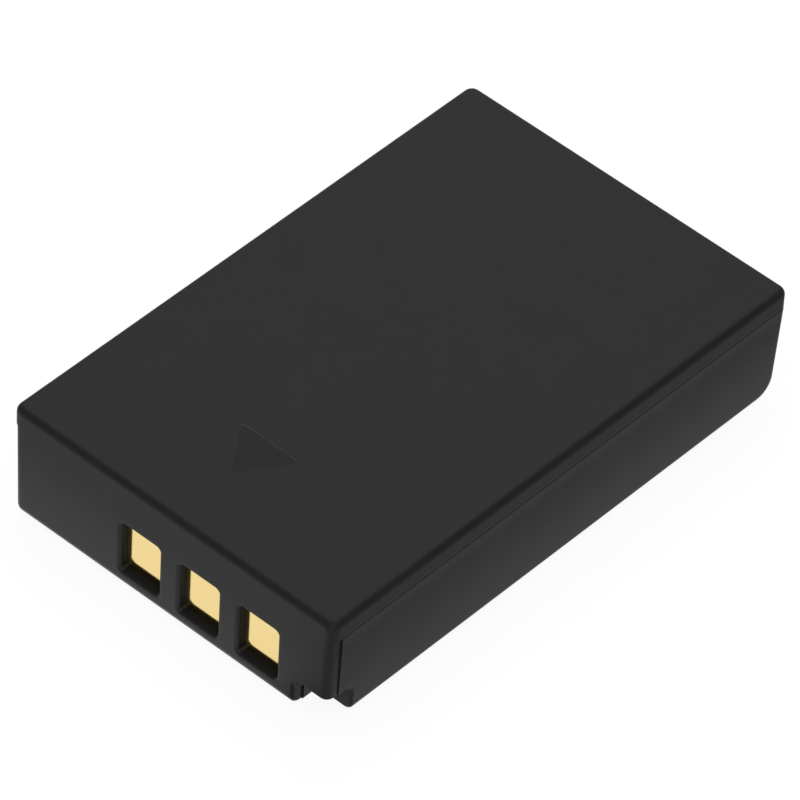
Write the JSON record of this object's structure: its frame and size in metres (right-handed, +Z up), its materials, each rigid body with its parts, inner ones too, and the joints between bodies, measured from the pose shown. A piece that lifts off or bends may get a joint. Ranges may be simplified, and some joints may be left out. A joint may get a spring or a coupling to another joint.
{
  "type": "camera battery",
  "caption": "Flat rectangular lithium-ion camera battery: drafted black moulded case with a welded cover, recessed gold contacts in one end and a keying notch beside them.",
  "frame": {"origin": "middle of the underside, at the bottom centre of the pack's box", "axes": "+Z up through the cover, +Y along the pack away from the terminal end, +X towards the notched side"},
  "size_m": [0.0354, 0.055, 0.0118],
  "materials": {
    "case_plastic": "fine satin texture, as moulded",
    "contact_gold": "gold plate, satin",
    "board_laminate": "solder-masked laminate",
    "chip_black": "moulded epoxy",
    "chip_ceramic": "fired ceramic",
    "cell_can": "deep-drawn, satin",
    "nickel_strip": "rolled nickel",
    "fibre_paper": "adhesive-backed fibre paper",
    "adhesive_tape": "double-sided tape",
    "foam_pad": "closed-cell foam"
  },
  "bodies": {
    "root": {"lower_case": "case_plastic", "top_cover": "case_plastic", "contact_negative": "contact_gold", "contact_sense": "contact_gold", "contact_positive": "contact_gold", "protection_board": "board_laminate", "protection_ic": "chip_black", "mosfet_pair": "chip_black", "chip_resistors": "chip_black", "chip_capacitors": "chip_ceramic", "thermistor": "chip_ceramic", "chip_fuse": "chip_ceramic", "board_insulator": "fibre_paper", "cell_lower": "cell_can", "cell_upper": "cell_can", "lower_cell_paper": "fibre_paper", "upper_cell_paper": "fibre_paper", "series_link": "nickel_strip", "positive_tab": "nickel_strip", "negative_tab": "nickel_strip", "base_tape": "adhesive_tape", "cell_divider": "adhesive_tape", "cover_pad": "foam_pad"}
  },
  "joints": []
}
